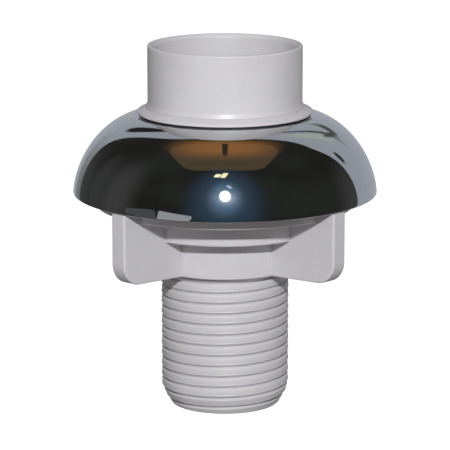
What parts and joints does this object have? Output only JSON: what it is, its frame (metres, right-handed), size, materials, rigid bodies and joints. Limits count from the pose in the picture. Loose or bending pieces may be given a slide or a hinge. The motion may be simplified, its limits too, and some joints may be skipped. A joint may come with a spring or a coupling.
{
  "type": "thru hull fitting",
  "caption": "White plastic thru hull fitting: threaded tail with a wing nut, polished domed escutcheon that covers the hull hole, and a slip socket for a pipe on the outside.",
  "frame": {"origin": "centre of the threaded tail's end face, which is the bottom of the fitting", "axes": "+Z along the axis of the fitting, from the tail to the mouth of the slip socket; one wing of the nut points 47 degrees from +X"},
  "size_m": [0.0902, 0.0902, 0.1083],
  "materials": {
    "white_plastic": "semi-gloss moulded",
    "washer_plastic": "satin",
    "polished_chrome": "mirror polish",
    "seal_rubber": "matte"
  },
  "bodies": {
    "fitting_body": {"threaded_body": "white_plastic", "socket_collar": "white_plastic", "spigot_o_ring": "seal_rubber", "collar_seal": "seal_rubber", "hull_gasket": "seal_rubber"},
    "escutcheon": {"dome_escutcheon": "polished_chrome"},
    "washer": {"slip_washer": "washer_plastic"},
    "nut": {"wing_nut": "white_plastic"}
  },
  "joints": [
    {"name": "escutcheon_turn", "type": "hinge", "parent": "fitting_body", "child": "escutcheon", "pos_m": [0, 0, 0.0876], "axis": [0, 0, 1], "continuous": true},
    {"name": "nut_travel", "type": "slide", "parent": "fitting_body", "child": "washer", "axis": [0, 0, -1], "range_m": [0, 0.0381]},
    {"name": "nut_turn", "type": "hinge", "parent": "washer", "child": "nut", "pos_m": [0, 0, 0.0529], "axis": [0, 0, -1], "range_deg": [0, 4320]}
  ],
  "couplings": [
    {"joint": "nut_travel", "follows": "nut_turn", "m_per_rad": 0.00050532}
  ]
}
